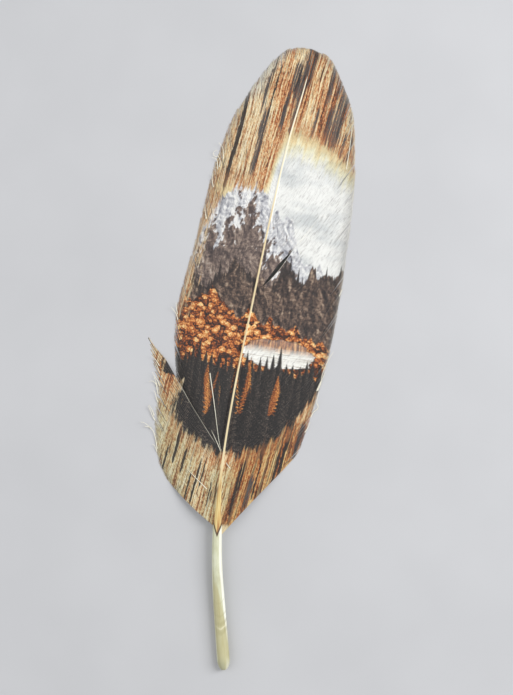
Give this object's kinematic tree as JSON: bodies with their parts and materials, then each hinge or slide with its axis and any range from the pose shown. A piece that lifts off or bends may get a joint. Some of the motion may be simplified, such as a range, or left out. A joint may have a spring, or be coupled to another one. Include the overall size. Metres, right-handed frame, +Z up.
{
  "type": "feather",
  "caption": "Large flight feather with a printed vane, a split lower lock and a bare quill, lying face up.",
  "frame": {"origin": "on the surface the feather lies on, under the middle of its outline", "axes": "+Y runs from the end of the quill to the tip of the vane, +X is to the right of the printed face seen from above, +Z is up, away from the surface"},
  "size_m": [0.0922, 0.3148, 0.0101],
  "materials": {
    "printed_vane": "matte barbs with a printed face, off-white underneath",
    "quill": "satin horn"
  },
  "bodies": {
    "root": {"feather": "printed_vane"}
  },
  "joints": []
}
